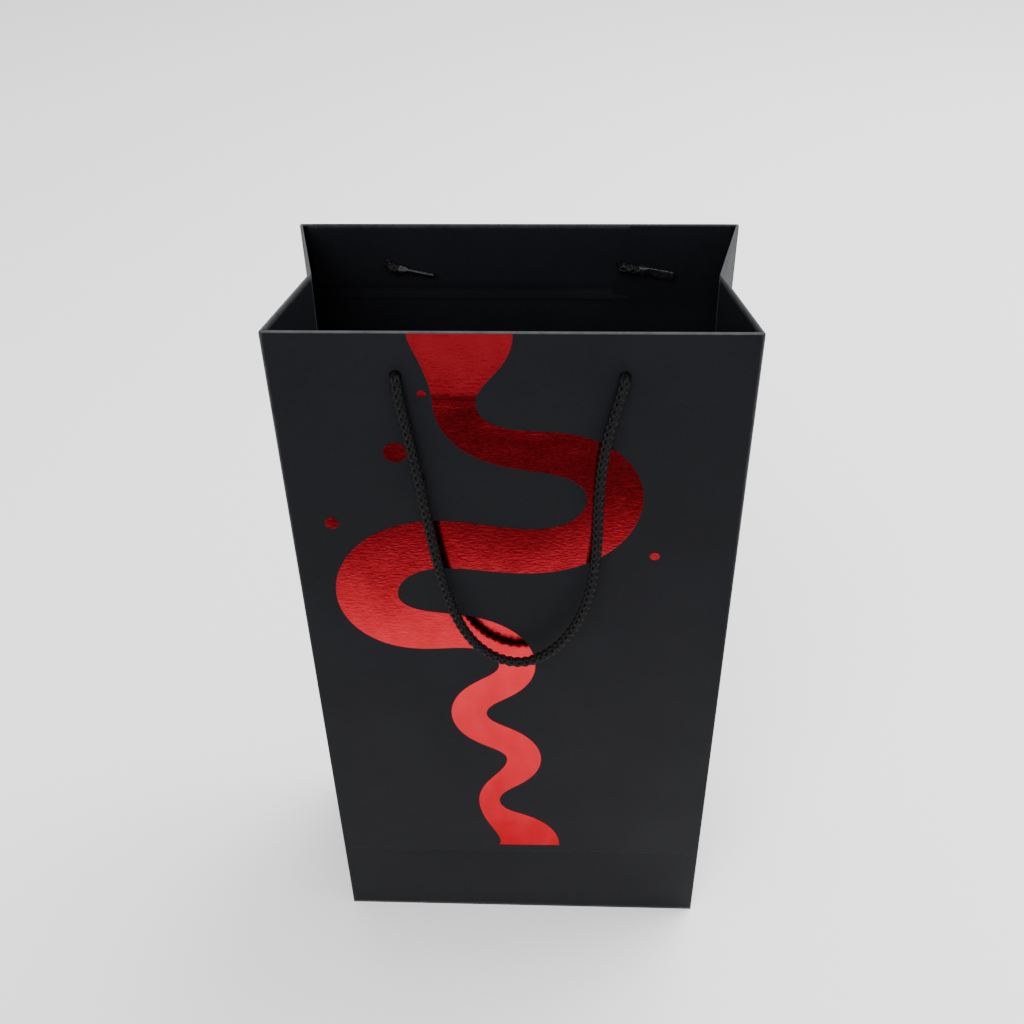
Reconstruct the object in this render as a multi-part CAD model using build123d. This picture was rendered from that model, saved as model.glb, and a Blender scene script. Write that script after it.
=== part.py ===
from build123d import *
import os
from math import acos, cos, degrees, pi, radians, sin, tan

# A paper carrier bag for two bottles, standing open on its base. Millimetres, +Z up.
# The origin is the middle of the base where it stands, +X is the bag's right and -Y its front.
# The bag is one folded sheet of heavy paper; each panel between two creases is its own solid,
# because each panel turns about its creases.

# Driving dimensions of the bag
bag_width = 180
bag_depth = 90
bag_height = 350
paper = 0.4
gusset_tuck = 11            # how far the side crease is pushed in at the mouth
mouth_travel = 10           # how far each wall's top edge comes in when the mouth is squeezed
crease_room = 1.8           # kept free each side of a side crease, so that its halves never meet

# Turned-in top, its stiffener and the glued seam
hem_depth = 34
hem_end = 3                 # the hem stops this far short of a corner crease
stiffener_width = 164
stiffener_depth = 27
stiffener = 0.6
seam_edge_x = 39            # the seam tab's free edge, from the middle of the back wall
seam_edge_lean = 7          # the free edge slants by this much over the hem's depth
seam_gap = 0.6              # between the seam tab and the end of the back hem
seam_cut = 10               # thickness of the cutter for the tab's edge, more than the hem's
hem_step = 2                # below the stiffener the hem comes out to the wall over this height

# Base
board = 1.2
board_width = 174
board_length = 86
board_corner = 2
flap_overlap = 12           # the front flap reaches this far past the middle of the base
side_flap_depth = 38
side_flap_room = 1          # the side flaps stop this far short of the front and back walls
fold_gap = 0.1              # between a wall and the flap it is folded from
gusset_foot = 0.5           # a gusset half's lower corner clears the base board by this much
gusset_foot_rise = 1.4      # and its lower edge rises by this much towards the side crease
gusset_bands = [40, 90, 160, 240]  # heights where a gusset half's flat facets meet
corner_room = 1.3           # kept free between a gusset half and its corner crease

# Rope handles
rope = 4.5
hole = 5.2
hole_drop = 18
pivot_gap = 0.3             # between a loop's ball end and the rope's stub in the wall
stub_reach = 8              # how far the rope's tail runs along the inside of the wall
tip_length = 14
tip_width = 4.2
tip_thickness = 1.4

# Foil print, a pour of wine: each bend is (turn from straight down in degrees, length, half width)
foil = 0.1
pour_start = (-18, 19)      # its middle at the top edge, and its half width there
pour_bends = [
    (-10, 30, 8), (84, 84, 11), (-98, 132, 13), (88, 84, 8),
    (-56, 40, 8), (60, 42, 8), (-46, 36, 5), (44, 42, 15),
]
pour_step = 5.0             # length of pour between two points of its outline
drops = [(-33, 324, 1.6), (-45, 297, 4.6), (-36, 285, 1.8), (-73, 262, 2.8), (57, 246, 2.0)]

# Worked out from the above
half_width = bag_width / 2
half_depth = bag_depth / 2
mouth_lean = half_depth * (1 - (1 - (gusset_tuck / half_depth) ** 2) ** 0.5)
wall_foot = paper + fold_gap
wall_height = bag_height - wall_foot
lean_angle = mouth_lean / wall_height
hem_out = paper + stiffener
base_top = 3 * paper + board
hole_z = bag_height - hole_drop
pivot_y = half_depth - mouth_lean * (hole_z - wall_foot) / wall_height + rope / 2 + pivot_gap

# The front wall's own frame: X across, Y up the wall, Z out of its outer face.
outward = (0, -cos(lean_angle), sin(lean_angle))
front = Plane(origin=(0, -half_depth, wall_foot), x_dir=(1, 0, 0), z_dir=outward)

# Each handle's loop: (x, how far it stands out from its pivot, z), from one hole to the other
front_route = [
    (-42.0, 0.0, hole_z), (-41.0, 0.0, 320), (-38.4, 0.3, 303), (-35.4, 1.3, 280), (-32.2, 2.3, 253),
    (-28.4, 3.0, 229), (-21.6, 3.4, 207), (-11.5, 3.6, 194), (1.5, 3.6, 189), (13.5, 3.6, 194.5),
    (24.0, 3.4, 208), (31.3, 3.0, 229),
    (33.4, 2.3, 254), (33.2, 1.3, 280), (35.0, 0.3, 303), (39.2, 0.0, 321), (41.5, 0.0, hole_z),
]
back_route = [
    (-54.0, 0.0, hole_z), (-53.0, 0.0, 320), (-50.2, 0.3, 302), (-46.4, 1.2, 278), (-41.4, 2.1, 253),
    (-34.6, 2.8, 230), (-25.0, 3.2, 211), (-12.8, 3.4, 200.5), (0.4, 3.4, 198), (13.0, 3.4, 203.5),
    (23.6, 3.2, 216), (31.2, 2.8, 235),
    (36.2, 2.1, 257), (39.2, 1.2, 280), (41.2, 0.3, 303), (42.6, 0.0, 321), (43.0, 0.0, hole_z),
]
# How each tail lies inside its wall: its turn from +X, in degrees, as seen from the front
front_tails = {"left": 174, "right": -8}
back_tails = {"left": -12, "right": -9}


def half_turn(shape):
    """Carry a shape built on the front over to the back."""
    return Rot(0, 0, 180) * shape


def slab(x0, x1, low, high, inner, outer):
    """A plate on the front wall: across, up the wall, and out of its outer face."""
    middle = Pos((x0 + x1) / 2, (low + high) / 2, (inner + outer) / 2)
    return front.location * middle * Box(x1 - x0, high - low, outer - inner)


def hole_cutters(xs):
    """Cylinders that pierce the front wall, its stiffener and its hem."""
    up = (hole_z - wall_foot) / cos(lean_angle)
    return [front.location * Pos(x, up, 0) * Cylinder(hole / 2, 12) for x in xs]


def pierced(shape, xs):
    for cutter in hole_cutters(xs):
        shape = shape - cutter
    return shape


def wall(xs):
    """A main panel, from its bottom crease to just under the fold of its hem."""
    return pierced(slab(-half_width, half_width, 0, wall_height - paper, -paper, 0), xs)


def stiffener_card(xs):
    top = wall_height - paper
    reach = stiffener_width / 2
    return pierced(slab(-reach, reach, top - stiffener_depth, top, -hem_out, -paper), xs)


def turned_in(x0, x1, low, xs):
    """Paper folded over the wall's top edge and down inside, over the stiffener, to the height low."""
    step = wall_height - paper - stiffener_depth
    glued = step - hem_step
    profile = [
        (0, wall_height), (-hem_out - paper, wall_height), (-hem_out - paper, step), (-2 * paper, glued),
        (-2 * paper, low), (-paper, low), (-paper, glued), (-hem_out, step),
        (-hem_out, wall_height - paper), (0, wall_height - paper),
    ]
    across = Plane(origin=(x0, 0, 0), x_dir=(0, 0, 1), z_dir=(-1, 0, 0))
    section = across * make_face(Polyline(*profile, close=True))
    return pierced(front.location * extrude(section, amount=x1 - x0, dir=(1, 0, 0)), xs)


def seam_wedge(x_low, x_high, low):
    """Everything right of the seam tab's slanted edge, to cut the back hem and the tab along one line."""
    hem_low = wall_height - hem_depth
    top = wall_height + 1
    outline = Polyline(
        (x_low, low), (x_low, hem_low), (x_high, top), (bag_width, top), (bag_width, low), close=True,
    )
    return front.location * Pos(0, 0, -seam_cut / 2) * extrude(make_face(outline), amount=seam_cut)


def gusset_depth(z):
    """Half the bag's depth at the height z, where the walls lean in towards the mouth."""
    return half_depth - mouth_lean * max(z - wall_foot, 0) / wall_height


def gusset_section(z_corner, z_crease, near, far, outer, inner):
    """The corners of a gusset half cut across: near and far along the panel, outer and inner through it.

    The hemmed top is doubled and stays flat, so all of it has the turn of its middle.
    """
    hemmed = z_corner >= bag_height - hem_depth
    turned_at = bag_height - hem_depth / 2 if hemmed else (z_corner + z_crease) / 2
    angle = acos(gusset_depth(turned_at) / half_depth)
    corners = []
    for along, into in [(near, outer), (far, outer), (far, inner), (near, inner)]:
        z = z_corner + (z_crease - z_corner) * (along - near) / (far - near)
        x = -half_width + along * sin(angle) + into * cos(angle)
        y = -gusset_depth(z_corner) + along * cos(angle) - into * sin(angle)
        corners.append((x, y, z))
    return corners


def gusset_panel(heights, near, outer, inner):
    """The left front gusset half, twisted from square at the base to its tuck at the mouth in flat facets."""
    far = half_depth - crease_room
    foot, *rest = heights
    rise = gusset_foot_rise if foot < base_top + 1 else 0
    sections = [gusset_section(foot, foot + rise, near, far, outer, inner)]
    sections += [gusset_section(z, z, near, far, outer, inner) for z in rest]
    facets = [sections[0], sections[-1]]
    for low, high in zip(sections, sections[1:]):
        for k in range(4):
            a, b, c, d = low[k], low[(k + 1) % 4], high[(k + 1) % 4], high[k]
            facets += [(a, b, d), (b, c, d)] if k == 2 else [(a, b, c), (a, c, d)]
    return Solid(Shell([Face(Wire.make_polygon(corners)) for corners in facets]))


def gusset_half():
    heights = [base_top + gusset_foot, *gusset_bands, bag_height - hem_depth, bag_height]
    return gusset_panel(heights, corner_room, 0, paper)


def gusset_hem():
    heights = [bag_height - hem_depth, bag_height]
    return gusset_panel(heights, hem_end, paper, 2 * paper)


def corner_set(shape):
    """The same gusset piece at all four corners of the bag."""
    left_back = mirror(shape, about=Plane.XZ)
    return {
        "left_front": shape,
        "right_front": mirror(shape, about=Plane.YZ),
        "left_back": left_back,
        "right_back": mirror(left_back, about=Plane.YZ),
    }


def front_flap():
    edge = flap_overlap
    outline = Polyline(
        (-half_width, -half_depth), (half_width, -half_depth), (half_width, 0), (half_width - edge, edge),
        (edge - half_width, edge), (-half_width, 0), close=True,
    )
    return extrude(make_face(outline), amount=paper)


def back_flap():
    """It lies on the floor at the back and steps up over the front flap where the two are glued."""
    edge = flap_overlap
    profile = [
        (half_depth, 0), (edge + 2, 0), (edge + 1, paper), (-edge, paper),
        (-edge, 2 * paper), (edge + 1, 2 * paper), (edge + 2, paper), (half_depth, paper),
    ]
    across = Plane(origin=(-half_width, 0, 0), x_dir=(0, 1, 0), z_dir=(1, 0, 0))
    section = across * make_face(Polyline(*profile, close=True))
    return extrude(section, amount=bag_width, dir=(1, 0, 0))


def side_flap():
    """The left side flap, folded in under the base board, with its ends folded on the diagonal."""
    wide = half_depth - side_flap_room
    narrow = wide - side_flap_depth
    inner_x = side_flap_depth - half_width
    outline = Polyline(
        (-half_width, -wide), (inner_x, -narrow), (inner_x, narrow), (-half_width, wide), close=True,
    )
    return Pos(0, 0, 2 * paper) * extrude(make_face(outline), amount=paper)


def base_board():
    outline = RectangleRounded(board_width, board_length, board_corner)
    return Pos(0, 0, 3 * paper) * extrude(outline, amount=board)


def corner_radii(points, share=0.45):
    """The largest arc each corner of a route has room for."""
    radii = []
    for before, point, after in zip(points, points[1:], points[2:]):
        run_in = point - before
        run_out = after - point
        half = radians(run_in.get_angle(run_out)) / 2
        radii.append(share * min(run_in.length, run_out.length) / tan(half))
    return radii


def loop(name, route, side):
    """A handle's loop of rope, with a ball at each end that turns in front of its hole."""
    points = [Vector(x, side * (pivot_y + out), z) for x, out, z in route]
    radii = corner_radii(points)
    path = FilletPolyline(*points, radius=radii)
    tube = sweep(Plane(origin=path @ 0, z_dir=path % 0) * Circle(rope / 2), path=path)
    ideal = pi * (rope / 2) ** 2 * path.length
    print(f"{name}: length {path.length:.1f}, volume / (section x length) {tube.volume / ideal:.4f}")
    print(f"{name}: radii", [round(radius, 1) for radius in radii])
    for end in (points[0], points[-1]):
        tube = tube + Pos(end.X, end.Y, end.Z) * Sphere(rope / 2)
    return tube


def tail_frame(x, turn, side):
    """Where a tail turns to lie along its wall: X along the tail, Z towards the wall."""
    inside = pivot_y - rope / 2 - pivot_gap - hem_out - paper - rope / 2 - pivot_gap
    along = Vector(cos(radians(turn)), 0, sin(radians(turn)))
    return Plane(origin=(x, side * inside, hole_z), x_dir=along, z_dir=(0, side, 0))


def tail(x, turn, side):
    """The rope's end: through the wall, then along its inside as far as the tip."""
    frame = tail_frame(x, turn, side)
    through = hem_out + paper + rope / 2 + pivot_gap
    stub = frame.location * Pos(0, 0, through / 2) * Cylinder(rope / 2, through)
    elbow = frame.location * Sphere(rope / 2)
    run = frame.location * Pos(stub_reach / 2, 0, 0) * Rot(0, 90, 0) * Cylinder(rope / 2, stub_reach)
    return stub + elbow + run


def tip(x, turn, side):
    """The flat crimp that keeps the rope from pulling back through its hole."""
    frame = tail_frame(x, turn, side)
    blank = Box(tip_length, tip_width, tip_thickness)
    blank = fillet(blank.edges().filter_by(Axis.Z), 0.6)
    return frame.location * Pos(stub_reach + tip_length / 2, 0, 0) * blank


def pour_edges():
    """Both edges of the pour, from the mouth to its foot, bend by bend."""
    x, half = pour_start
    up = wall_height
    left = []
    right = []
    for turn, length, end_half in pour_bends:
        steps = round(length / pour_step)
        stride = length / steps
        for i in range(steps):
            share = i / steps
            heading = radians(turn) * sin(pi * share)
            wide = half + (end_half - half) * (1 - cos(pi * share)) / 2
            left.append((x - wide * cos(heading), up - wide * sin(heading)))
            right.append((x + wide * cos(heading), up + wide * sin(heading)))
            middle = radians(turn) * sin(pi * (i + 0.5) / steps)
            x += stride * sin(middle)
            up -= stride * cos(middle)
        half = end_half
    left.append((x - half, up))
    right.append((x + half, up))
    return left, right


def foil_pour():
    left, right = pour_edges()
    outline = [Spline(*left), Line(left[-1], right[-1]), Spline(*reversed(right)), Line(right[0], left[0])]
    face = make_face(Wire(outline))
    return front.location * extrude(face, amount=foil)


def foil_drops():
    places = [(Pos(x, z - wall_foot, foil / 2), radius) for x, z, radius in drops]
    discs = [front.location * place * Cylinder(radius, foil) for place, radius in places]
    return Compound(children=[Solid(disc.solid().wrapped) for disc in discs])


def build():
    front_xs = [front_route[0][0], front_route[-1][0]]
    back_xs = [back_route[0][0], back_route[-1][0]]
    turned_back_xs = [-x for x in back_xs]
    hem_low = wall_height - hem_depth
    hem_reach = half_width - hem_end
    nodes = {
        "front_wall": wall(front_xs),
        "back_wall": half_turn(wall(turned_back_xs)),
        "front_stiffener_card": stiffener_card(front_xs),
        "back_stiffener_card": half_turn(stiffener_card(turned_back_xs)),
        "front_hem": turned_in(-hem_reach, hem_reach, hem_low, front_xs),
        "bottom_front_flap": front_flap(),
        "bottom_back_flap": back_flap(),
        "bottom_left_flap": side_flap(),
        "bottom_right_flap": half_turn(side_flap()),
        "base_board": base_board(),
        "foil_pour": foil_pour(),
        "foil_drops": foil_drops(),
    }

    # The back is built on the front and turned round, so its seam is on the left here.
    edge_top = seam_edge_x + seam_edge_lean
    mirrored = mirror(seam_wedge(seam_edge_x, edge_top, -1), about=Plane.YZ)
    nodes["seam_tab"] = half_turn(turned_in(-hem_reach, 0, 0, turned_back_xs) & mirrored)
    wider = mirror(seam_wedge(seam_edge_x - seam_gap, edge_top - seam_gap, -1), about=Plane.YZ)
    nodes["back_hem"] = half_turn(turned_in(-hem_reach, hem_reach, hem_low, turned_back_xs) - wider)

    for place, panel in corner_set(gusset_half()).items():
        nodes[f"{place}_gusset"] = panel
    for place, panel in corner_set(gusset_hem()).items():
        nodes[f"{place}_gusset_hem"] = panel

    for name, route, tails, side in [
        ("front", front_route, front_tails, -1),
        ("back", back_route, back_tails, 1),
    ]:
        nodes[f"{name}_handle_loop"] = loop(f"{name} handle", route, side)
        for end, point in [("left", route[0]), ("right", route[-1])]:
            nodes[f"{name}_handle_{end}_tail"] = tail(point[0], tails[end], side)
            nodes[f"{name}_handle_{end}_tip"] = tip(point[0], tails[end], side)
    return nodes


os.makedirs("parts", exist_ok=True)
for node, shape in build().items():
    export_step(shape, f"parts/{node}.step")
squeeze = mouth_travel / wall_height
closed = acos((half_depth - mouth_lean - mouth_travel) / half_depth)
resting = acos((half_depth - mouth_lean) / half_depth)
print(f"rope pivots at y {pivot_y:.3f}, z {hole_z}; walls lean {degrees(lean_angle):.4f} degrees")
print(f"squeeze {degrees(squeeze):.4f} degrees, gusset turn {degrees(closed - resting):.3f} degrees")
print(f"gusset turn per squeeze {(closed - resting) / squeeze:.4f}")
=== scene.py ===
from math import acos, cos, pi, radians, sin, sqrt

import bmesh
import bpy
from mathutils import Matrix, Vector


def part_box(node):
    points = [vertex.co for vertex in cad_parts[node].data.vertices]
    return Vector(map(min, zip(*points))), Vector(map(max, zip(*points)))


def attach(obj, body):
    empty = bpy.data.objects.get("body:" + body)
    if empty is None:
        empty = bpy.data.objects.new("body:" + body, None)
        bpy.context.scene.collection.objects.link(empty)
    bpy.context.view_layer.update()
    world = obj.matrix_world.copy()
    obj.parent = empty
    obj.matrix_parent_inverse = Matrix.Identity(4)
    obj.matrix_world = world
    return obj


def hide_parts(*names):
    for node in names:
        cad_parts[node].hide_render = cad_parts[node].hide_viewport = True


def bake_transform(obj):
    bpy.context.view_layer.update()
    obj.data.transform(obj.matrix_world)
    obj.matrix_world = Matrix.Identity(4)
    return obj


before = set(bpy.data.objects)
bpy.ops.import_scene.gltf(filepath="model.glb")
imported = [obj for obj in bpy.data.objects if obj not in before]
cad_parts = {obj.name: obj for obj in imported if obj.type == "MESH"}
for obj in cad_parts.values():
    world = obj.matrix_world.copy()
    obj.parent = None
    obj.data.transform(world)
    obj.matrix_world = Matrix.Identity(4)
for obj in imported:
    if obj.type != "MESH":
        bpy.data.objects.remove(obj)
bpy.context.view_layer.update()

mm = 0.001

# --- Camera -------------------------------------------------------------------------------------
# A standing person's view down on the front of the bag.
camera_place = Vector((0.0179, -0.4150, 0.5678))
camera_yaw = radians(-2.85)
camera_pitch = radians(38.83)
camera_roll = radians(-1.22)

ahead = Vector((sin(camera_yaw), cos(camera_yaw), 0))
look = ahead * cos(camera_pitch) - Vector((0, 0, sin(camera_pitch)))
level = Vector((cos(camera_yaw), -sin(camera_yaw), 0))
upward = level.cross(look)
across = level * cos(camera_roll) + upward * sin(camera_roll)
upright = upward * cos(camera_roll) - level * sin(camera_roll)
camera = bpy.data.objects.new("camera", bpy.data.cameras.new("camera"))
turned = Matrix((across, upright, -look)).transposed().to_4x4()
camera.matrix_world = Matrix.Translation(camera_place) @ turned
camera.data.sensor_width = 36
camera.data.lens = 42.42
camera.data.clip_start = 0.01
bpy.context.scene.collection.objects.link(camera)
bpy.context.scene.camera = camera


# --- Black paper --------------------------------------------------------------------------------
# Heavy matt art paper, dyed black and given a fine laid grain, which rubs grey along its folds. The grey on
# its corners and top fold is painted highlight as well as rub.
# Its finish, like all the others, is a material whose nodes are written as sums on their sockets.
class Flow:
    """One output socket, which Python's arithmetic turns into Math nodes."""

    def __init__(self, bench, socket):
        self.bench = bench
        self.socket = socket

    def __add__(self, other):
        return self.bench.reckon("ADD", self, other)

    def __rsub__(self, other):
        return self.bench.reckon("SUBTRACT", other, self)

    def __mul__(self, other):
        return self.bench.reckon("MULTIPLY", self, other)

    def __truediv__(self, other):
        return self.bench.reckon("DIVIDE", self, other)

    __radd__ = __add__
    __rmul__ = __mul__


class Bench:
    """A node tree, whose nodes all come from one method."""

    def __init__(self, tree):
        self.tree = tree
        self.math_node = "ShaderNodeMath"

    def node(self, kind, settings=None, sockets=None, output=0):
        """Add a node: first its settings, then the values or links of its sockets, by name or number."""
        made = self.tree.nodes.new(kind)
        for key, value in (settings or {}).items():
            if key == "stops":
                ramp = made.color_ramp.elements
                while len(ramp) < len(value):
                    ramp.new(0.5)
                for element, (place, colour) in zip(ramp, value):
                    element.position = place
                    element.color = (*colour, 1)
            else:
                setattr(made, key, value)
        for key, value in (sockets or {}).items():
            socket = made.inputs[key]
            if isinstance(value, Flow):
                self.tree.links.new(value.socket, socket)
            else:
                socket.default_value = value
        return Flow(self, made.outputs[output]) if made.outputs else made

    def reckon(self, operation, *values):
        return self.node(self.math_node, {"operation": operation}, dict(enumerate(values)))


class Finish(Bench):
    """A material with one Principled shader."""

    def __init__(self, name):
        self.material = bpy.data.materials.new(name)
        self.material.use_nodes = True
        self.material.node_tree.nodes.clear()
        super().__init__(self.material.node_tree)

    def place(self):
        return self.node("ShaderNodeTexCoord", output=3)

    def stretched(self, scale):
        return self.node("ShaderNodeMapping", None, {"Vector": self.place(), "Scale": scale})

    def noise(self, vector, scale, detail=3.0, roughness=0.5):
        sockets = {"Vector": vector, "Scale": scale, "Detail": detail, "Roughness": roughness}
        return self.node("ShaderNodeTexNoise", None, sockets)

    def mix(self, factor, one, other):
        return self.node("ShaderNodeMix", {"data_type": "RGBA"}, {0: factor, 6: one, 7: other}, output=2)

    def bump(self, height, strength, distance):
        sockets = {"Height": height, "Strength": strength, "Distance": distance}
        return self.node("ShaderNodeBump", None, sockets)

    def ramp(self, value, low, high):
        sockets = {"Value": value, "From Min": low, "From Max": high}
        return self.node("ShaderNodeMapRange", {"clamp": True}, sockets)

    def finish(self, **sockets):
        named = {key.replace("_", " "): value for key, value in sockets.items()}
        shader = self.node("ShaderNodeBsdfPrincipled", None, named)
        self.node("ShaderNodeOutputMaterial", None, {"Surface": shader})
        return self.material


def black_paper():
    f = Finish("black_paper")
    # Per-point lightening: paper rubbed grey at folds, cut edges and foot, plus painted highlight on the
    # corners and top fold.
    wear = f.node("ShaderNodeAttribute", {"attribute_name": "wear"}, output=2)
    laid = f.noise(f.stretched((260, 260, 2600)), 1.0, 2.0)
    chain = f.noise(f.stretched((2600, 2600, 320)), 1.0, 2.0)
    cloud = f.noise(f.place(), 28.0, 3.0)
    fibre = f.noise(f.place(), 900.0, 4.0, 0.7)
    scuff_and_highlight_mask = f.ramp(wear * (0.55 + 0.9 * f.noise(f.place(), 210.0, 4.0, 0.7)), 0.30, 1.0)
    dark = f.mix(f.ramp(cloud, 0.3, 0.7), (0.0038, 0.0040, 0.0056, 1), (0.0050, 0.0052, 0.0070, 1))
    specked = f.mix(f.ramp(fibre, 0.55, 0.75) * 0.5, dark, (0.009, 0.0095, 0.012, 1))
    # The grey mixed in here is partly rubbed paper and partly painted highlight on the corners and top fold.
    scuffed_and_lit_colour = f.mix(scuff_and_highlight_mask, specked, (0.055, 0.058, 0.061, 1))
    grain = f.bump(laid + chain + 0.6 * fibre, 0.30, 0.00012)
    return f.finish(
        Base_Color=scuffed_and_lit_colour, Roughness=f.ramp(fibre, 0.2, 0.8) * 0.1 + 0.56 + scuff_and_highlight_mask * 0.2, Normal=grain,
        Specular_IOR_Level=0.095,
    )


paper_finish = black_paper()

half_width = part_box("front_wall")[1].x
half_depth = -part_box("bottom_front_flap")[0].y
mouth_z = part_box("front_hem")[1].z
foot_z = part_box("front_wall")[0].z
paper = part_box("bottom_front_flap")[1].z
gusset_tuck = 11 * mm
hem_depth = 34 * mm
card_depth = 27 * mm
card = 0.6 * mm
hem_end = 3 * mm
flat_fold_z = 48 * mm
corner_bend = 0.5 * mm
wall_height = mouth_z - foot_z
mouth_lean = half_depth * (1 - sqrt(1 - (gusset_tuck / half_depth) ** 2))
lean_angle = mouth_lean / wall_height
wall_up = Vector((0, sin(lean_angle), cos(lean_angle)))
wall_out = Vector((0, -cos(lean_angle), sin(lean_angle)))
wall_origin = Vector((0, -half_depth, foot_z))


def smooth(low, high, value):
    share = min(max((value - low) / (high - low), 0), 1)
    return share * share * (3 - 2 * share)


def between(low, high, count):
    return [low + (high - low) * i / count for i in range(count + 1)]


def wall_point(x, up, out, face=1):
    """A point on the front wall's frame, or on the back wall's where face is -1."""
    point = wall_origin + Vector((x, 0, 0)) + wall_up * up + wall_out * out
    return Vector((point.x * face, point.y * face, point.z))


def bow(x, up, face=1):
    """How far a wall's paper stands out of flat: soft waves, a dent at the fold line, stiff at the hem."""
    z = up + foot_z
    edge = 1 - (abs(x) / half_width) ** 4
    rise = smooth(0, 40 * mm, z) * (1 - smooth(300 * mm, 322 * mm, z))
    wave = 0.55 * sin(z / (74 * mm) + face) + 0.35 * sin(x / (31 * mm) + z / (120 * mm) + 2 * face)
    wave += 0.16 * sin(x / (13 * mm) + z / (29 * mm)) + 0.12 * sin(z / (17 * mm) - x / (22 * mm))
    fold = max(0, 1 - abs(z - flat_fold_z) / (26 * mm)) * (0.9 if face > 0 else 0.15)
    card_edge = 0.14 * smooth(320 * mm, 324 * mm, z)
    return ((wave * rise - fold) * edge + card_edge * min(1, edge * 3)) * mm


def sheet_mesh(name, rows, thickness, keep=None, wear=None, finish=paper_finish):
    """A sheet of paper from rows of points on its middle, given its thickness by Solidify."""
    width = len(rows[0])
    points = [point for row in rows for point in row]
    faces = []
    for r in range(len(rows) - 1):
        for c in range(width - 1):
            if keep is None or keep(r, c):
                first = r * width + c
                faces.append((first, first + 1, first + 1 + width, first + width))
    mesh = bpy.data.meshes.new(name)
    mesh.from_pydata(points, [], faces)
    mesh.attributes.new("wear", "FLOAT", "POINT")
    values = [wear(i // width, i % width) if wear else 0.0 for i in range(len(points))]
    mesh.attributes["wear"].data.foreach_set("value", values)
    mesh.materials.append(finish)
    piece = bpy.data.objects.new(name, mesh)
    bpy.context.scene.collection.objects.link(piece)
    drop_loose(piece)
    solid = piece.modifiers.new("thickness", "SOLIDIFY")
    solid.thickness = thickness
    solid.offset = 0
    solid.use_even_offset = True
    return piece


def drop_loose(piece):
    shape = bmesh.new()
    shape.from_mesh(piece.data)
    bmesh.ops.delete(shape, geom=[v for v in shape.verts if not v.link_faces], context="VERTS")
    shape.to_mesh(piece.data)
    shape.free()


def settle(piece):
    """Apply a piece's modifiers and shade it smooth but for its sharp edges."""
    bpy.context.view_layer.update()
    evaluated = piece.evaluated_get(bpy.context.evaluated_depsgraph_get())
    mesh = bpy.data.meshes.new_from_object(evaluated)
    mesh.name = piece.name
    piece.modifiers.clear()
    piece.data = mesh
    mesh.shade_smooth()
    mesh.set_sharp_from_angle(angle=radians(35))
    return piece


# --- Main walls ---------------------------------------------------------------------------------
# Front and back panels of the folded sheet. Each runs up from the base, folds in over its
# stiffener card and comes back down inside as the glued hem; two holes take the rope.
hole_radius = 2.2 * mm
front_holes = [-42 * mm, 41.5 * mm]
back_holes = [-54 * mm, 43 * mm]
hole_z = mouth_z - 18 * mm
hem_slack = 0.5 * mm


def wall_profile(face):
    """(height up the wall, depth in from its outer face) along the middle of the paper, foot to hem edge."""
    crown = wall_height - corner_bend - paper / 2
    outer = -paper / 2
    inner = outer - 2 * corner_bend
    lower = wall_height - hem_depth
    step = wall_height - card_depth - paper
    heights = [-0.09 * mm, 0.6 * mm, 1.5 * mm] + between(4 * mm, 44 * mm, 10)
    heights += [46 * mm, 47 * mm, flat_fold_z - foot_z, 49 * mm, 51 * mm] + between(56 * mm, 314 * mm, 64)
    heights += between(317 * mm, 326 * mm, 9) + between(330 * mm, crown, 8)
    profile = [(up, outer) for up in heights]
    for i in range(1, 9):
        turn = pi * i / 8
        profile.append((crown + corner_bend * sin(turn), outer - corner_bend * (1 - cos(turn))))
    profile += [(up, inner) for up in between(crown, step, 10)[1:]]
    profile += [(step - 1 * mm, inner + 0.3 * mm), (step - 2.2 * mm, -paper * 1.6)]
    profile += [(up, -paper * 1.6) for up in between(step - 3 * mm, lower, 4)]
    return profile, len(heights)


def wall_columns():
    reach = half_width - corner_bend - paper / 2
    inside = [hem_end * 0.5, hem_end, hem_end * 1.6, 7 * mm]
    edge = [reach - d for d in inside]
    middle = between(-82 * mm, 82 * mm, 54)
    return [-reach] + [-x for x in edge] + middle + sorted(edge) + [reach]


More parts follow.
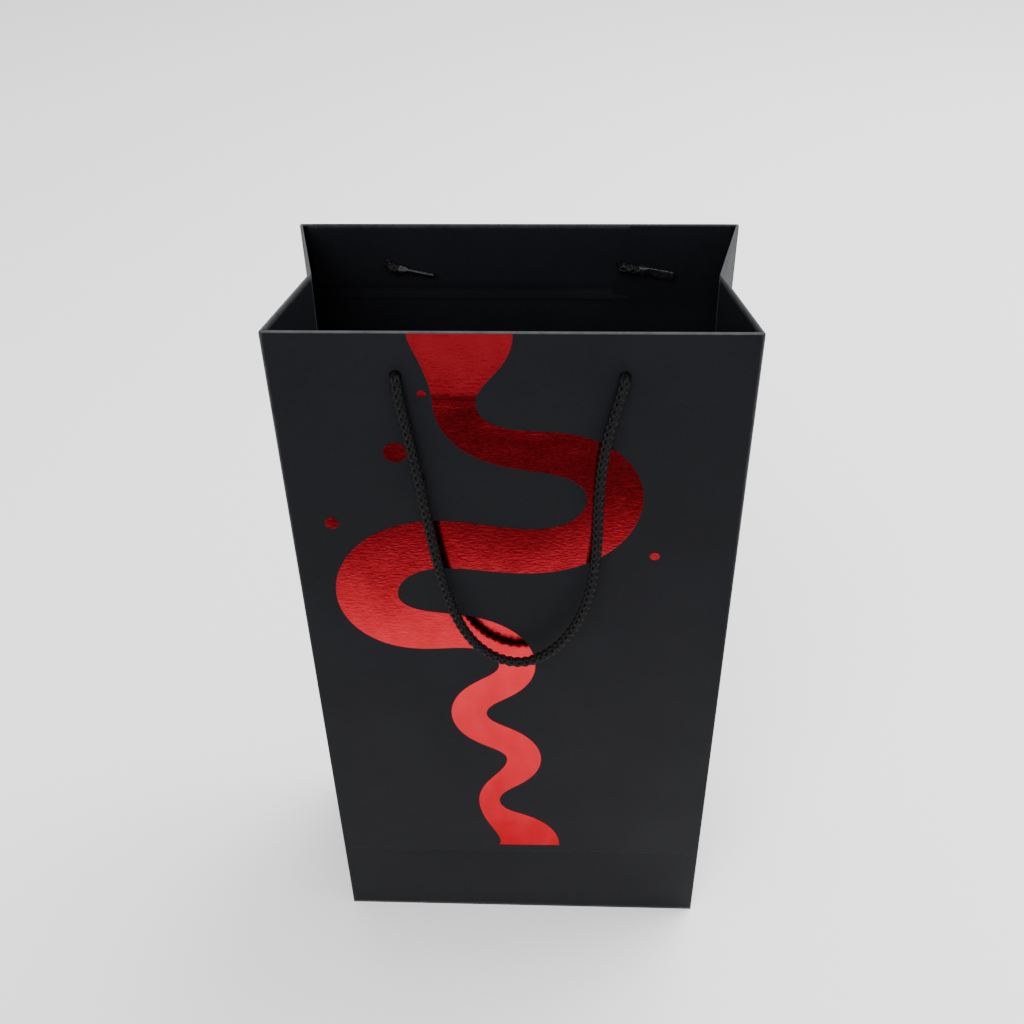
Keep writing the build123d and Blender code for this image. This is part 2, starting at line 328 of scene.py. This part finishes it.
def wall_sheet(name, face):
    profile, outer_rows = wall_profile(face)
    columns = wall_columns()
    bends = between(0, pi / 2, 4)[1:]
    rows = []
    for up, depth in profile:
        row = []
        for turn in reversed(bends):
            row.append((-columns[-1] - corner_bend * sin(turn), depth - corner_bend * (1 - cos(turn))))
        row += [(x, depth) for x in columns]
        for turn in bends:
            row.append((columns[-1] + corner_bend * sin(turn), depth - corner_bend * (1 - cos(turn))))
        lifted = []
        for x, out in row:
            slack = 0
            if depth < -paper and up < wall_height - card_depth:
                free = smooth(wall_height - card_depth, wall_height - hem_depth, up)
                wave = 0.5 + 0.5 * sin(x / (19 * mm) + face)
                corner = smooth(-60 * mm, -34 * mm, x) * (1 - smooth(-34 * mm, -10 * mm, x))
                slack = free * hem_slack * (0.4 * wave + (1.1 * corner if face < 0 else 0))
            lifted.append(wall_point(x, up, out + bow(x, up, face) - slack, face))
        rows.append(lifted)
    count = len(bends)
    hem_from = outer_rows + 8
    xs = [-half_width] * count + columns + [half_width] * count

    def keep(r, c):
        if r < outer_rows - 1:
            return True
        if r < hem_from - 1:
            return count <= c < len(xs) - count - 1
        return abs(xs[c]) <= half_width - hem_end and abs(xs[c + 1]) <= half_width - hem_end

    # Per-point lightening: real rub at the foot, the hem's cut edge and the flat fold line; painted
    # highlight on the corners, growing higher up, and on the top fold, stronger on the front wall.
    def wear(r, c):
        up, depth = profile[r]
        z = up + foot_z
        top = 0.4 * smooth(348 * mm, mouth_z, z) if r < outer_rows else 0
        if outer_rows <= r < hem_from:
            top = 0.9 if face > 0 else 0.5
        corner = 0.55 if abs(xs[c]) > columns[-1] - 1 * mm else 0
        if c < count or c >= len(xs) - count:
            corner = 1.0
        fold = 0.34 if abs(z - flat_fold_z) < 0.8 * mm and face > 0 else 0
        foot = 0.8 if z < 1.2 * mm else 0
        inner = 0.3 if r == len(profile) - 1 else 0
        return max(top, corner * (0.5 + 0.5 * smooth(0.1, 0.35, z)), fold, foot, inner)

    return sheet_mesh(name, rows, paper, keep, wear)


def punch(piece, xs, face):
    """Cut the two rope holes through every layer of the wall."""
    cutters = []
    for x in xs:
        place = (x, -face * half_depth, hole_z)
        bpy.ops.mesh.primitive_cylinder_add(vertices=40, radius=hole_radius, depth=20 * mm, location=place)
        cutter = bpy.context.object
        cutter.data.transform(Matrix.Rotation(pi / 2, 4, "X"))
        cutters.append(cutter)
        cut = piece.modifiers.new("hole", "BOOLEAN")
        cut.object = cutter
        cut.operation = "DIFFERENCE"
        cut.solver = "EXACT"
    settle(piece)
    for cutter in cutters:
        bpy.data.objects.remove(cutter)
    return piece


front_sheet = punch(wall_sheet("front_wall_paper", 1), front_holes, 1)
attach(front_sheet, "front_wall")
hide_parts("front_wall", "front_hem")

back_sheet = punch(wall_sheet("back_wall_paper", -1), back_holes, -1)
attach(back_sheet, "back_wall")
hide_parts("back_wall", "back_hem")


# --- Seam tab -----------------------------------------------------------------------------------
# The sheet's overlapping end, glued inside the back wall at the right-hand corner. Its free edge
# is cut on a slant through the hem.
seam_edge = 39 * mm
seam_edge_lean = 7 * mm


def seam_tab():
    lower = wall_height - hem_depth
    step = wall_height - card_depth - paper
    levels = [(wall_height - 0.4 * mm, 1.62 * mm), (step, 1.62 * mm), (step - 2.4 * mm, 1.02 * mm)]
    levels += [(lower, 1.04 * mm), (lower - 1.5 * mm, 0.66 * mm)]
    levels += [(up, 0.64 * mm) for up in between(lower - 8 * mm, 2 * mm, 40)]
    rows = []
    for up, depth in levels:
        edge = seam_edge + seam_edge_lean * min(max((up - lower) / hem_depth, 0), 1)
        xs = [-x for x in between(edge, half_width - hem_end, 16)]
        rows.append([wall_point(x, up, bow(x, up, -1) - depth, -1) for x in xs])
    return sheet_mesh("seam_tab_paper", rows, paper, wear=lambda r, c: 0.3 if c == 0 else 0.0)


tab = settle(seam_tab())
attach(tab, "back_wall")
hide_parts("seam_tab")


# --- Side gussets -------------------------------------------------------------------------------
# Each side is two panels with a crease between them, tucked in at the mouth and square at the
# base. Their top edge is turned in like the walls'.
crease_wear = 0.4 * mm           # the strip beside the crease that rubs grey
crease_lap = 0.15 * mm           # each half runs past the crease, so that no light shows through it


def gusset_point(along, into, z):
    """A point on the left front half: along the panel from its corner, and into the bag from its face."""
    height = min(max(z - foot_z, 0), wall_height)
    depth = half_depth - mouth_lean * height / wall_height
    angle = acos(min(1, depth / half_depth))
    puff = 0.5 * mm * sin(pi * along / half_depth) * sin(z / (38 * mm)) * smooth(0, 60 * mm, z)
    into += puff * (1 - smooth(300 * mm, 340 * mm, z))
    x = -half_width + along * sin(angle) + into * cos(angle)
    y = -depth + along * cos(angle) - into * sin(angle)
    return Vector((x, y, z))


def gusset_sheet(name, mirror_x, mirror_y):
    bend = 0.3 * mm
    crown = mouth_z - bend - paper / 2
    outer = [(z, paper / 2) for z in [0.41 * mm, 1 * mm, 3 * mm] + between(7 * mm, crown, 90)]
    fold = [(crown + bend * sin(pi * i / 6), paper / 2 + bend * (1 - cos(pi * i / 6))) for i in range(1, 7)]
    hem = [(z, paper / 2 + 2 * bend) for z in between(crown, mouth_z - hem_depth, 10)[1:]]
    profile = outer + fold + hem
    alongs = [0.7 * mm, 1.2 * mm, 2 * mm] + between(hem_end, half_depth - 1 * mm, 16)
    alongs += [half_depth - crease_wear, half_depth + crease_lap]
    rows = []
    for z, into in profile:
        row = [gusset_point(along, into, z) for along in alongs]
        rows.append([Vector((p.x * mirror_x, p.y * mirror_y, p.z)) for p in row])
    if mirror_x * mirror_y > 0:
        rows = [list(reversed(row)) for row in rows]
    count = len(alongs)

    def place(c):
        return alongs[count - 1 - c] if mirror_x * mirror_y > 0 else alongs[c]

    def keep(r, c):
        return r < len(outer) + 5 or min(place(c), place(c + 1)) >= hem_end - 0.1 * mm

    # Per-point lightening: real rub at the crease and foot; painted highlight on the corner and top fold.
    def wear(r, c):
        top = 1.0 if len(outer) <= r < len(outer) + 6 else 0
        crease = 0.55 if place(c) > half_depth - 0.5 * mm else 0
        corner = 0.6 if place(c) < 0.8 * mm else 0
        foot = 0.7 if profile[r][0] < 1.2 * mm else 0
        return max(top, crease, corner, foot)

    return settle(sheet_mesh(name, rows, paper, keep, wear))


gussets = {
    "left_front": (1, 1, "front_wall"),
    "right_front": (-1, 1, "front_wall"),
    "left_back": (1, -1, "back_wall"),
    "right_back": (-1, -1, "back_wall"),
}
for place, (mirror_x, mirror_y, wall) in gussets.items():
    half = gusset_sheet(f"{place}_gusset_paper", mirror_x, mirror_y)
    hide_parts(f"{place}_gusset", f"{place}_gusset_hem")
    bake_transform(half)


# --- Base and stiffeners ------------------------------------------------------------------------
# Four flaps of the sheet folded shut and glued, a loose board inside, and two cards in the hems.
def card_board():
    f = Finish("black_board")
    fibre = f.noise(f.place(), 420.0, 5.0, 0.65)
    tone = f.mix(f.ramp(fibre, 0.35, 0.7), (0.016, 0.016, 0.018, 1), (0.034, 0.034, 0.036, 1))
    return f.finish(Base_Color=tone, Roughness=0.75, Normal=f.bump(fibre, 0.3, 0.0001))


board_finish = card_board()
for node in ["bottom_front_flap", "bottom_back_flap", "bottom_left_flap", "bottom_right_flap"]:
    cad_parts[node].data.materials.clear()
    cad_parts[node].data.materials.append(paper_finish)
for node in ["base_board", "front_stiffener_card", "back_stiffener_card"]:
    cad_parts[node].data.materials.clear()
    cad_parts[node].data.materials.append(board_finish)


# --- Foil print ---------------------------------------------------------------------------------
# Red metallic foil, stamped hot on to the front wall: a plain winding pour and a few drops.
def red_foil():
    f = Finish("red_foil")
    peel = f.noise(f.stretched((420, 420, 1100)), 1.0, 3.0, 0.55)
    creases = f.noise(f.stretched((120, 120, 45)), 1.0, 4.0, 0.55)
    pick = f.noise(f.place(), 1500.0, 2.0, 0.6)
    tone = f.mix(f.ramp(creases, 0.3, 0.7), (0.46, 0.016, 0.026, 1), (0.54, 0.021, 0.034, 1))
    return f.finish(
        Base_Color=f.mix(f.ramp(pick, 0.70, 0.80), tone, (0.20, 0.008, 0.014, 1)), Metallic=1.0,
        Specular_Tint=(0.80, 0.10, 0.11, 1), Roughness=f.ramp(peel, 0.25, 0.75) * 0.08 + 0.09,
        Normal=f.bump(0.42 * peel + 1.5 * creases, 0.22, 0.0006),
    )


foil_finish = red_foil()
foil_lift = 0.03 * mm
foil_thickness = 0.05 * mm
pour_start = (-18 * mm, 19 * mm)
pour_bends = [
    (-10, 30, 8), (84, 84, 11), (-98, 132, 13), (88, 84, 8),
    (-56, 40, 8), (60, 42, 8), (-46, 36, 5), (44, 42, 15),
]
pour_step = 1.0
drops = [(-33, 324, 1.6), (-45, 297, 4.6), (-36, 285, 1.8), (-73, 262, 2.8), (57, 246, 2.0)]


def on_foil(x, up):
    return wall_point(x, up, bow(x, up) + foil_lift + foil_thickness / 2)


def pour_rows():
    """Rows across the pour, bend by bend: its heading swings out and back along each bend."""
    x, half = pour_start
    foil_top = wall_height - 0.5 * mm
    up = foil_top
    rows = []
    for turn, length, end_half in pour_bends:
        steps = round(length / pour_step)
        stride = length * mm / steps
        for i in range(steps):
            share = i / steps
            heading = radians(turn) * sin(pi * share)
            wide = half + (end_half * mm - half) * (1 - cos(pi * share)) / 2
            row = []
            for w in between(-wide, wide, 10):
                row.append(on_foil(x + w * cos(heading), min(up + w * sin(heading), foil_top)))
            rows.append(row)
            middle = radians(turn) * sin(pi * (i + 0.5) / steps)
            x += stride * sin(middle)
            up -= stride * cos(middle)
        half = end_half * mm
    rows.append([on_foil(x + w, up) for w in between(-half, half, 10)])
    return rows


def drop_rows(x, z, radius):
    rows = []
    up = z - foot_z
    for ring in between(0, radius, 5):
        turns = between(0, 2 * pi, 28)
        rows.append([on_foil(x + ring * cos(turn), up + ring * sin(turn)) for turn in turns])
    return rows


pour = settle(sheet_mesh("foil_pour_print", pour_rows(), foil_thickness, finish=foil_finish))
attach(pour, "front_wall")
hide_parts("foil_pour")


def merged(name, pieces):
    """Join pieces into one, and weld the seams their rows leave."""
    shape = bmesh.new()
    for piece in pieces:
        shape.from_mesh(piece.data)
        bpy.data.objects.remove(piece)
    bmesh.ops.remove_doubles(shape, verts=shape.verts, dist=0.004 * mm)
    mesh = bpy.data.meshes.new(name)
    shape.to_mesh(mesh)
    shape.free()
    whole = bpy.data.objects.new(name, mesh)
    bpy.context.scene.collection.objects.link(whole)
    return whole


discs = []
for x, z, radius in drops:
    disc = sheet_mesh("drop", drop_rows(x * mm, z * mm, radius * mm), foil_thickness, finish=foil_finish)
    disc.modifiers.clear()
    discs.append(disc)
spots = merged("foil_drops_print", discs)
spots.data.materials.append(foil_finish)
thick = spots.modifiers.new("thickness", "SOLIDIFY")
thick.thickness = foil_thickness
thick.offset = 0
settle(spots)
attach(spots, "front_wall")
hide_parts("foil_drops")


# --- Rope handles -------------------------------------------------------------------------------
# Two lengths of 4.5 mm braided black cord. Each end goes in through its hole, turns along the
# inside of the wall and ends in a flat crimp; outside, the loop hangs down the wall.
def black_cord():
    f = Finish("black_cord")
    thread = f.noise(f.place(), 2600.0, 3.0, 0.6)
    tone = f.mix(f.ramp(thread, 0.35, 0.7), (0.0008, 0.0008, 0.0011, 1), (0.0036, 0.0036, 0.0046, 1))
    return f.finish(
        Base_Color=tone, Roughness=0.45, Normal=f.bump(thread, 0.5, 0.0002), Specular_IOR_Level=0.13,
    )


cord_finish = black_cord()
rope = 4.5 * mm
pivot_y = half_depth - mouth_lean * (hole_z - foot_z) / wall_height + rope / 2 + 0.3 * mm
inside_y = pivot_y - rope / 2 - 0.3 * mm - card - 2 * paper - rope / 2 - 0.3 * mm
front_route = [
    (-42.0, 0.0, 332), (-41.0, 0.0, 320), (-38.4, 0.3, 303), (-35.4, 1.3, 280), (-32.2, 2.3, 253),
    (-28.4, 3.0, 229), (-21.6, 3.4, 207), (-11.5, 3.6, 194), (1.5, 3.6, 189), (13.5, 3.6, 194.5),
    (24.0, 3.4, 208), (31.3, 3.0, 229),
    (33.4, 2.3, 254), (33.2, 1.3, 280), (35.0, 0.3, 303), (39.2, 0.0, 321), (41.5, 0.0, 332),
]
back_route = [
    (-54.0, 0.0, 332), (-53.0, 0.0, 320), (-50.2, 0.3, 302), (-46.4, 1.2, 278), (-41.4, 2.1, 253),
    (-34.6, 2.8, 230), (-25.0, 3.2, 211), (-12.8, 3.4, 200.5), (0.4, 3.4, 198), (13.0, 3.4, 203.5),
    (23.6, 3.2, 216), (31.2, 2.8, 235),
    (36.2, 2.1, 257), (39.2, 1.2, 280), (41.2, 0.3, 303), (42.6, 0.0, 321), (43.0, 0.0, 332),
]
tails = {"front": ((174, 8, 0), (-8, 8, 0)), "back": ((-12, 5, 50), (-9, 8, 12))}


def tail_points(x, tail, side):
    """From the crimp, along the inside of the wall, and out through the hole."""
    turn, stub, roll = tail
    reach = [stub * mm, stub * 0.6 * mm, stub * 0.25 * mm]
    run = [(x + r * cos(radians(turn)), side * inside_y, hole_z + r * sin(radians(turn))) for r in reach]
    bend = [(x, side * (inside_y + 0.5 * mm), hole_z), (x, side * (inside_y + 3.4 * mm), hole_z)]
    return run + bend + [(x, side * (pivot_y - 1.2 * mm), hole_z)]


def rope_route(route, turns, side):
    loop = [(x * mm, side * (pivot_y + out * mm), z * mm) for x, out, z in route]
    loop[0] = (loop[0][0], loop[0][1] - side * 0.2 * mm, loop[0][2] - 0.4 * mm)
    loop[-1] = (loop[-1][0], loop[-1][1] - side * 0.2 * mm, loop[-1][2] - 0.4 * mm)
    start = tail_points(loop[0][0], turns[0], side)
    end = tail_points(loop[-1][0], turns[1], side)
    return start + loop + list(reversed(end))


def route_curve(name, points):
    curve = bpy.data.curves.new(name, "CURVE")
    curve.dimensions = "3D"
    curve.resolution_u = 12
    spline = curve.splines.new("NURBS")
    spline.points.add(len(points) - 1)
    for point, place in zip(spline.points, points):
        point.co = (*place, 1)
    spline.order_u = 3
    spline.use_endpoint_u = True
    made = bpy.data.objects.new(name, curve)
    bpy.context.scene.collection.objects.link(made)
    return made


def read_line(curve_object):
    """The points of a curve's own line."""
    bpy.context.view_layer.update()
    evaluated = curve_object.evaluated_get(bpy.context.evaluated_depsgraph_get())
    mesh = bpy.data.meshes.new_from_object(evaluated)
    line = [v.co.copy() for v in mesh.vertices]
    bpy.data.meshes.remove(mesh)
    return line


def braid_tree():
    """Strands plaited round a line: half of them turn each way, and each rides over and under the rest."""
    tree = bpy.data.node_groups.new("braid", "GeometryNodeTree")
    face = tree.interface
    face.new_socket("Line", in_out="INPUT", socket_type="NodeSocketGeometry")
    sizes = [("Strand radius", 0.66), ("Braid radius", 1.42), ("Weave", 0.24), ("Turn length", 13.5)]
    for name, value in sizes:
        face.new_socket(name, in_out="INPUT", socket_type="NodeSocketFloat").default_value = value * mm
    face.new_socket("Strands", in_out="INPUT", socket_type="NodeSocketInt").default_value = 8
    face.new_socket("Finish", in_out="INPUT", socket_type="NodeSocketMaterial")
    face.new_socket("Rope", in_out="OUTPUT", socket_type="NodeSocketGeometry")
    b = Bench(tree)
    inlet = tree.nodes.new("NodeGroupInput")
    line, radius, braid, weave, turn, strands, finish = [Flow(b, inlet.outputs[i]) for i in range(7)]
    even = b.node("GeometryNodeResampleCurve", {"mode": "LENGTH"}, {"Curve": line, "Length": 0.55 * mm})
    copies = {"Geometry": even, "Amount": strands}
    copied = b.node("GeometryNodeDuplicateElements", {"domain": "SPLINE"}, copies)
    number = Flow(b, copied.socket.node.outputs[1])
    run = b.node("GeometryNodeSplineParameter", output=1)
    way = 1 - 2 * b.reckon("MODULO", number, 2)
    angle = (run / turn * way + number / strands) * (2 * pi)
    ride_height = braid + weave * b.reckon("COSINE", strands / 2 * angle * way + number * pi)
    tangent = b.node("GeometryNodeInputTangent")
    normal = b.node("GeometryNodeInputNormal")
    side = b.node("ShaderNodeVectorMath", {"operation": "CROSS_PRODUCT"}, {0: tangent, 1: normal})
    scale = {"operation": "SCALE"}
    outward = ride_height * b.reckon("COSINE", angle)
    sideways = ride_height * b.reckon("SINE", angle)
    over = b.node("ShaderNodeVectorMath", scale, {0: normal, "Scale": outward})
    along = b.node("ShaderNodeVectorMath", scale, {0: side, "Scale": sideways})
    offset = b.node("ShaderNodeVectorMath", {"operation": "ADD"}, {0: over, 1: along})
    frozen = b.node("GeometryNodeSetPosition", None, {"Geometry": copied, "Offset": offset})
    ring = b.node("GeometryNodeCurvePrimitiveCircle", None, {"Resolution": 7, "Radius": radius})
    strand = {"Curve": frozen, "Profile Curve": ring, "Fill Caps": True}
    tubes = b.node("GeometryNodeCurveToMesh", None, strand)
    core_ring = b.node("GeometryNodeCurvePrimitiveCircle", None, {"Resolution": 10, "Radius": braid})
    middle = {"Curve": even, "Profile Curve": core_ring, "Fill Caps": True}
    core = b.node("GeometryNodeCurveToMesh", None, middle)
    both = tree.nodes.new("GeometryNodeJoinGeometry")
    tree.links.new(core.socket, both.inputs[0])
    tree.links.new(tubes.socket, both.inputs[0])
    smoothed = b.node("GeometryNodeSetShadeSmooth", None, {"Geometry": Flow(b, both.outputs[0])})
    real = b.node("GeometryNodeRealizeInstances", None, {"Geometry": smoothed})
    dyed = b.node("GeometryNodeSetMaterial", None, {"Geometry": real, "Material": finish})
    outlet = tree.nodes.new("NodeGroupOutput")
    tree.links.new(dyed.socket, outlet.inputs[0])
    return tree


braid = braid_tree()


def set_input(modifier, name, value):
    """Set a modifier's input by its socket's identifier."""
    for item in modifier.node_group.interface.items_tree:
        if item.in_out == "INPUT" and item.name == name:
            modifier[item.identifier] = value


def plaited(name, curve_object):
    weaver = curve_object.modifiers.new("braid", "NODES")
    weaver.node_group = braid
    set_input(weaver, "Finish", cord_finish)
    bpy.context.view_layer.update()
    evaluated = curve_object.evaluated_get(bpy.context.evaluated_depsgraph_get())
    mesh = bpy.data.meshes.new_from_object(evaluated)
    bpy.data.objects.remove(curve_object)
    made = bpy.data.objects.new(name, mesh)
    bpy.context.scene.collection.objects.link(made)
    return made


def crimp_plastic():
    f = Finish("crimp_plastic")
    scuff = f.noise(f.place(), 700.0, 3.0, 0.6)
    return f.finish(
        Base_Color=f.mix(f.ramp(scuff, 0.4, 0.7), (0.004, 0.004, 0.005, 1), (0.012, 0.012, 0.014, 1)),
        Specular_IOR_Level=0.3, Roughness=f.ramp(scuff, 0.3, 0.7) * 0.12 + 0.26,
        Normal=f.bump(scuff, 0.15, 0.0001),
    )


crimp_finish = crimp_plastic()


def crimp(name, x, tail, side):
    """A flat crimp: it takes the round rope at one end and is pressed thin, with three press marks."""
    turn, stub, roll = tail
    along = Vector((cos(radians(turn)), 0, sin(radians(turn))))
    rolled = Matrix.Rotation(radians(roll), 3, along)
    broad = rolled @ Vector((-sin(radians(turn)), 0, cos(radians(turn))))
    deep = rolled @ Vector((0, side, 0))
    origin = Vector((x, side * inside_y, hole_z)) + along * stub * mm
    sides = 20
    rows = []
    stations = [(-1.0, 1.9, 1.5), (-1.0, 2.2, 1.75), (0.6, 2.15, 1.6)]
    for i in range(27):
        share = i / 26
        pressed = 0.7 - 0.10 * (1 if i % 9 in (4, 5) else 0)
        squeeze = smooth(0, 0.2, share)
        stations.append((1 + 12.4 * share, 2.1, 1.6 + (pressed - 1.6) * squeeze))
    stations += [(13.8, 1.95, 0.62), (14.0, 1.6, 0.45)]
    for run, wide, deep_half in stations:
        sag = -0.5 * (run / 14) ** 2
        row = []
        for k in range(sides + 1):
            turned = 2 * pi * k / sides
            flat = 0.55
            c = abs(cos(turned)) ** flat * (1 if cos(turned) >= 0 else -1)
            s = abs(sin(turned)) ** flat * (1 if sin(turned) >= 0 else -1)
            row.append(origin + along * run * mm + broad * (wide * c + sag) * mm + deep * deep_half * s * mm)
        rows.append(row)
    shape = bmesh.new()
    rings = [[shape.verts.new(p) for p in row[:-1]] for row in rows]
    for one, two in zip(rings, rings[1:]):
        for k in range(sides):
            shape.faces.new((one[k], one[(k + 1) % sides], two[(k + 1) % sides], two[k]))
    shape.faces.new(rings[0])
    shape.faces.new(rings[-1])
    bmesh.ops.recalc_face_normals(shape, faces=shape.faces)
    mesh = bpy.data.meshes.new(name)
    shape.to_mesh(mesh)
    shape.free()
    mesh.materials.append(crimp_finish)
    mesh.shade_smooth()
    mesh.set_sharp_from_angle(angle=radians(40))
    made = bpy.data.objects.new(name, mesh)
    bpy.context.scene.collection.objects.link(made)
    return made


for place, route, side in [("front", front_route, -1), ("back", back_route, 1)]:
    points = rope_route(route, tails[place], side)
    curve_object = route_curve(f"{place}_rope_line", points)
    line = read_line(curve_object)
    handle = plaited(f"{place}_handle_rope", curve_object)
    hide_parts(f"{place}_handle_loop", f"{place}_handle_left_tail", f"{place}_handle_right_tail")
    for end, x, tail in [("left", route[0][0], tails[place][0]), ("right", route[-1][0], tails[place][1])]:
        tip = crimp(f"{place}_{end}_rope_tip", x * mm, tail, side)
        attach(tip, f"{place}_wall")
        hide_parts(f"{place}_handle_{end}_tip")
    side * (pivot_y - 3.3 * mm)
    side * (pivot_y + 0.2 * mm)
    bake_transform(handle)
    exit_point = (route[0][0] * mm, side * (pivot_y - rope / 2 - 0.3 * mm), hole_z)


# --- Studio -------------------------------------------------------------------------------------
# A plain pale floor under soft light, with a dark shaded cloth lying in front of the bag that only
# shine picks up.
def plain(name, colour, roughness):
    f = Finish(name)
    return f.finish(Base_Color=(*colour, 1), Roughness=roughness)


def stage_plane(name, x0, x1, y0, y1, z, finish):
    mesh = bpy.data.meshes.new(name)
    mesh.from_pydata([(x0, y0, z), (x1, y0, z), (x1, y1, z), (x0, y1, z)], [], [(0, 1, 2, 3)])
    mesh.materials.append(finish)
    made = bpy.data.objects.new(name, mesh)
    bpy.context.scene.collection.objects.link(made)
    return made


def shaded_cloth():
    f = Finish("dark_cloth")
    spread = f.node("ShaderNodeSeparateXYZ", None, {0: f.place()}, output=1)
    stops = [
        (0.0, (0.26, 0.26, 0.26)), (0.685, (0.22, 0.22, 0.22)), (0.70, (0.012, 0.012, 0.012)),
        (0.81, (0.012, 0.012, 0.012)), (0.87, (0.12, 0.12, 0.12)), (0.93, (0.42, 0.42, 0.42)),
        (1.0, (0.9, 0.9, 0.9)),
    ]
    tone = f.node("ShaderNodeValToRGB", {"stops": stops}, {0: f.ramp(spread, -1.1, -0.24)})
    return f.finish(Base_Color=tone, Roughness=1.0)


stage_plane("floor", -6, 6, -6, 6, 0, plain("pale_floor", (0.93, 0.93, 0.93), 0.9))
cloth = stage_plane("dark_cloth", -1.2, 1.2, -1.1, -0.24, 1 * mm, shaded_cloth())
cloth.visible_camera = False
cloth.visible_diffuse = False
cloth.visible_shadow = False

world = bpy.data.worlds.new("studio")
world.use_nodes = True
world.node_tree.nodes["Background"].inputs["Color"].default_value = (1, 1, 1, 1)
world.node_tree.nodes["Background"].inputs["Strength"].default_value = 1.12
bpy.context.scene.world = world


def soft_light(name, place, target, size, power):
    data = bpy.data.lights.new(name, "AREA")
    data.size = size
    data.energy = power
    light = bpy.data.objects.new(name, data)
    light.location = place
    light.rotation_euler = (Vector(target) - Vector(place)).to_track_quat("-Z", "Y").to_euler()
    bpy.context.scene.collection.objects.link(light)


soft_light("overhead", (0.9, 0.7, 1.7), (0, 0, 0.1), 1.6, 60)
soft_light("front_fill", (-0.6, -1.8, 1.9), (0, 0, 0.1), 1.6, 55)
